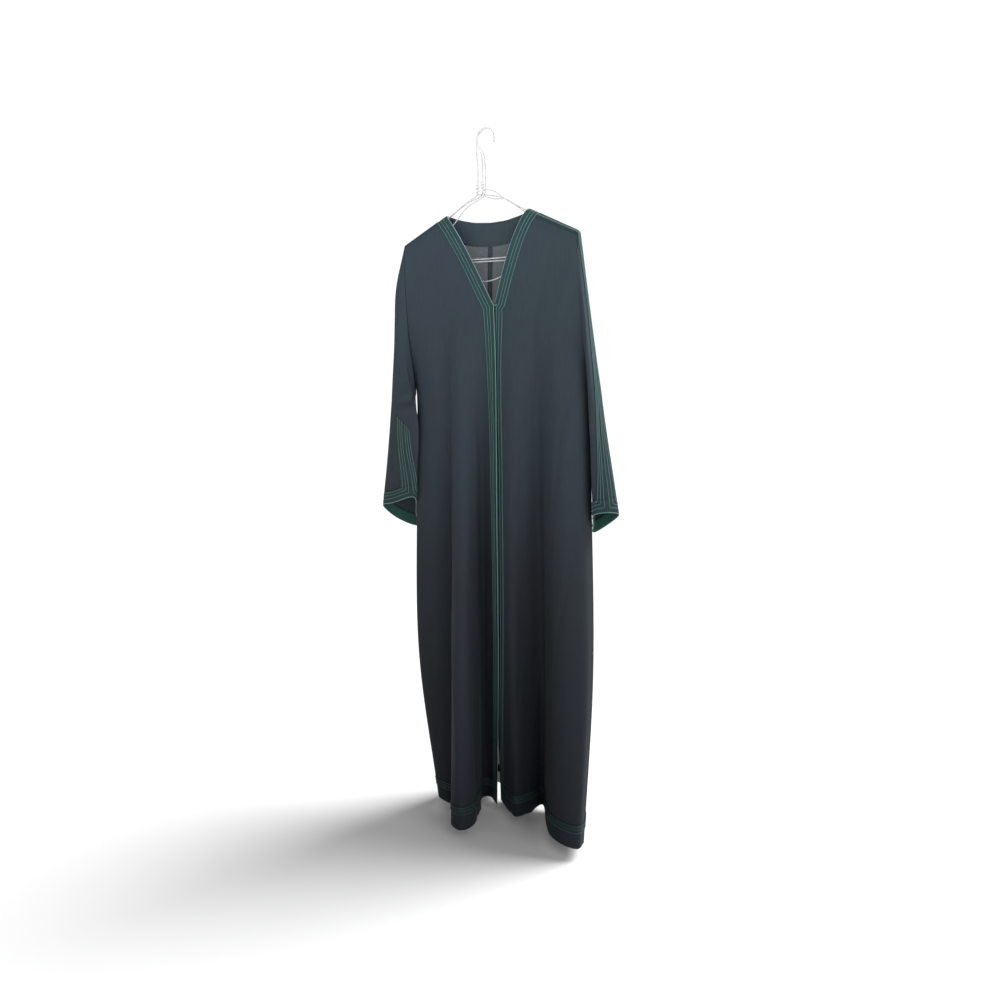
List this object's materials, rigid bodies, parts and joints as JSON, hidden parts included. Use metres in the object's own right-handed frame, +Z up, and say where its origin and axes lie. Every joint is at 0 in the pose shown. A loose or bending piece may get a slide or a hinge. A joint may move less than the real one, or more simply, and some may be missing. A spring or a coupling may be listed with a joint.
{
  "type": "open-front abaya on wire hangers",
  "caption": "Full-length open-front abaya with a V neck, corded edge bands and long sleeves, hanging on a bundle of wire hangers.",
  "frame": {"origin": "inner top of the hangers' hooks, where a rail carries them", "axes": "+Z up, -Y out of the garment's front, +X towards the wearer's left"},
  "size_m": [0.5873, 0.27, 1.5862],
  "materials": {
    "crepe": "matte, semi-sheer slate black crepe",
    "edge_band": "crepe backed with a green facing, with cord rows and a piped edge",
    "cord_trim": "satin green cord",
    "neck_facing": "matte double crepe",
    "cuff_facing": "matte green lining cloth",
    "hanger_wire": "gloss white coated wire"
  },
  "bodies": {
    "root": {"front_right_top": "crepe", "front_right_hip": "crepe", "front_right_skirt": "crepe", "front_left_top": "crepe", "front_left_hip": "crepe", "front_left_skirt": "crepe", "back_right_top": "crepe", "back_right_hip": "crepe", "back_right_skirt": "crepe", "back_left_top": "crepe", "back_left_hip": "crepe", "back_left_skirt": "crepe", "sleeve_right_front": "crepe", "sleeve_right_back": "crepe", "sleeve_left_front": "crepe", "sleeve_left_back": "crepe", "band_right": "edge_band", "band_left": "edge_band", "neck_facing": "neck_facing", "cuff_facing_right": "cuff_facing", "cuff_facing_left": "cuff_facing", "hanger_front": "hanger_wire", "hanger_middle": "hanger_wire", "hanger_back": "hanger_wire"}
  },
  "joints": []
}
